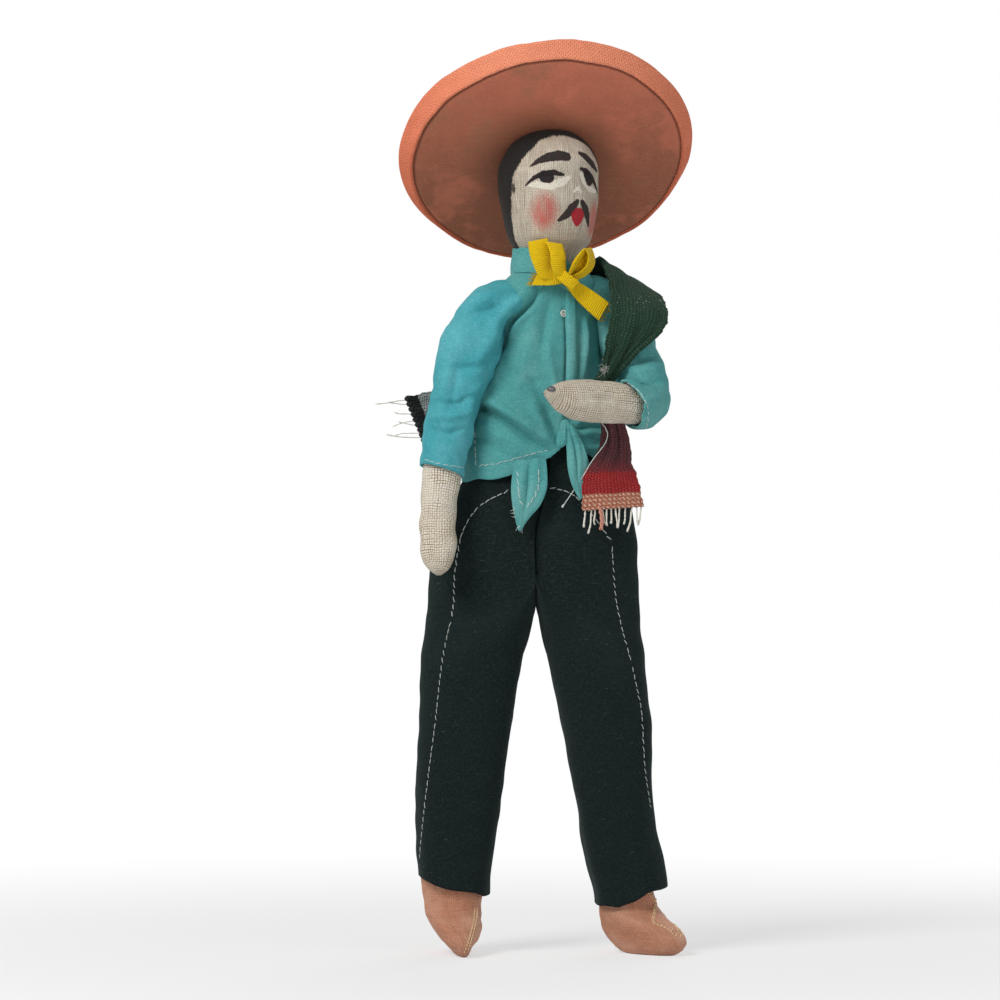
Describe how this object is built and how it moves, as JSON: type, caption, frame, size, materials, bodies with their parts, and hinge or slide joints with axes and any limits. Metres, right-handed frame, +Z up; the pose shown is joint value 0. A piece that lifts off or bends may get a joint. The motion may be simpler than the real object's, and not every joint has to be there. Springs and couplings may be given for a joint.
{
  "type": "cloth folk doll",
  "caption": "Standing cloth folk doll with a wide tilted hat, open-front shirt tied at the waist, felt trousers, ribbon bow and a striped blanket over one shoulder.",
  "frame": {"origin": "on the floor plane under the middle of the bounding box", "axes": "+Z up from the soles to the hat, the doll faces -Y, its left hand is towards +X"},
  "size_m": [0.091, 0.076, 0.2639],
  "materials": {
    "linen": "coarse linen, painted face and hair on the head",
    "stuffing": "plain linen skin packed with cotton stuffing",
    "turquoise_cotton": "plain weave cotton",
    "dark_felt": "thick felt with white running stitches",
    "yellow_ribbon": "ribbed grosgrain ribbon",
    "sarape_weave": "dark green weave with maroon, red and salmon bands",
    "cream_thread": "soft cotton thread",
    "coral_linen": "stiffened coral linen weave",
    "brown_lining": "mottled brown linen weave",
    "tan_cloth": "fine tan cloth, sewn with white thread",
    "dark_paint": "dark painted bead"
  },
  "bodies": {
    "torso": {"torso_body": "stuffing", "trousers_seat": "dark_felt", "shirt_front_right": "turquoise_cotton", "shirt_front_left": "turquoise_cotton", "shirt_back": "turquoise_cotton", "placket": "turquoise_cotton", "thread_button": "cream_thread", "shirt_knot": "turquoise_cotton", "shirt_tail_right": "turquoise_cotton", "shirt_tail_left": "turquoise_cotton", "collar": "turquoise_cotton", "bow_knot": "yellow_ribbon", "bow_loop_right": "yellow_ribbon", "bow_loop_left": "yellow_ribbon", "bow_tail_right": "yellow_ribbon", "bow_tail_left": "yellow_ribbon", "sarape": "sarape_weave", "sarape_fringe_front": "cream_thread", "sarape_fringe_back": "cream_thread", "sarape_tack": "cream_thread"},
    "head": {"head": "linen", "hat_lining": "brown_lining", "hat_brim": "coral_linen", "hat_rim": "coral_linen", "hat_crown": "coral_linen"},
    "right_upper_arm": {"right_sleeve_upper": "turquoise_cotton", "right_upper_arm": "stuffing"},
    "right_forearm": {"right_sleeve_lower": "turquoise_cotton", "right_forearm": "linen"},
    "left_upper_arm": {"left_sleeve_upper": "turquoise_cotton", "left_upper_arm": "stuffing"},
    "left_forearm": {"left_sleeve_lower": "turquoise_cotton", "left_forearm": "linen", "left_hand_nail": "dark_paint"},
    "right_leg": {"right_trouser_leg": "dark_felt", "right_leg": "stuffing", "right_foot": "tan_cloth"},
    "left_leg": {"left_trouser_leg": "dark_felt", "left_leg": "stuffing", "left_foot": "tan_cloth"}
  },
  "joints": [
    {"name": "neck_turn", "type": "hinge", "parent": "torso", "child": "head", "pos_m": [0.0033, -0.00208, 0.2], "axis": [0, 0, 1], "range_deg": [-30, 30]},
    {"name": "right_shoulder_swing", "type": "hinge", "parent": "torso", "child": "right_upper_arm", "pos_m": [-0.0161, -0.00838, 0.1875], "axis": [-0.9511, -0.309, 0], "range_deg": [0, 90]},
    {"name": "right_elbow_bend", "type": "hinge", "parent": "right_upper_arm", "child": "right_forearm", "pos_m": [-0.0263, -0.01208, 0.153], "axis": [-1, 0, 0], "range_deg": [0, 75]},
    {"name": "left_shoulder_turn", "type": "hinge", "parent": "torso", "child": "left_upper_arm", "pos_m": [0.01966, 0.00324, 0.1875], "axis": [-0.3217, 0.4812, 0.8154], "range_deg": [0, 45]},
    {"name": "left_elbow_bend", "type": "hinge", "parent": "left_upper_arm", "child": "left_forearm", "pos_m": [0.0311, -0.01388, 0.1585], "axis": [-0.5123, 0.6358, -0.5773], "range_deg": [-20, 2]},
    {"name": "right_hip_swing", "type": "hinge", "parent": "torso", "child": "right_leg", "pos_m": [-0.0166, -0.00208, 0.118], "axis": [-1, 0, 0], "range_deg": [-20, 8]},
    {"name": "left_hip_swing", "type": "hinge", "parent": "torso", "child": "left_leg", "pos_m": [0.0144, -0.00208, 0.118], "axis": [-1, 0, 0], "range_deg": [-20, 36]}
  ]
}
